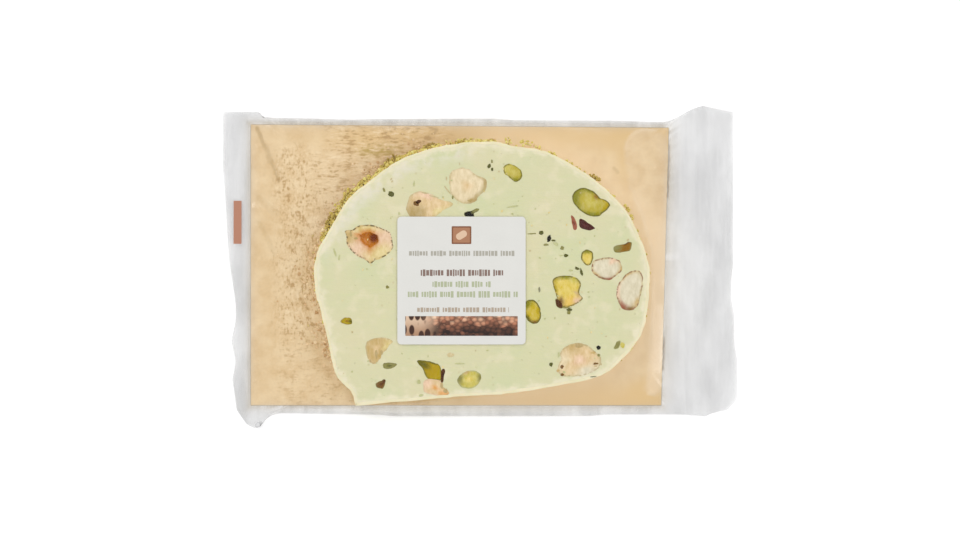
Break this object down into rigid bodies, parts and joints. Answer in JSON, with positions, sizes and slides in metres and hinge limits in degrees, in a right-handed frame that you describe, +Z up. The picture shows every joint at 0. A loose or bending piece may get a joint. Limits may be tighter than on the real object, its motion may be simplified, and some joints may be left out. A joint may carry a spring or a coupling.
{
  "type": "wrapped nougat slice",
  "caption": "Half-round slice of soft pistachio nougat with a pale coating, on a gold card, heat-sealed flat in a clear film bag with a plain paper label on top.",
  "frame": {"origin": "middle of the bounding box of the whole pack, on the surface it lies on", "axes": "+X along the pack from its left end seal to its right one, +Y up the face of the label, +Z up out of the label"},
  "size_m": [0.2208, 0.1386, 0.0135],
  "materials": {
    "film": "clear packing film",
    "label_paper": "coated paper",
    "gold_card": "gilt board",
    "nougat": "soft matte sweet",
    "coating": "satin white chocolate",
    "nuts": "cut nut",
    "print": "printing ink"
  },
  "bodies": {
    "root": {"bag": "film", "label": "label_paper"}
  },
  "joints": []
}
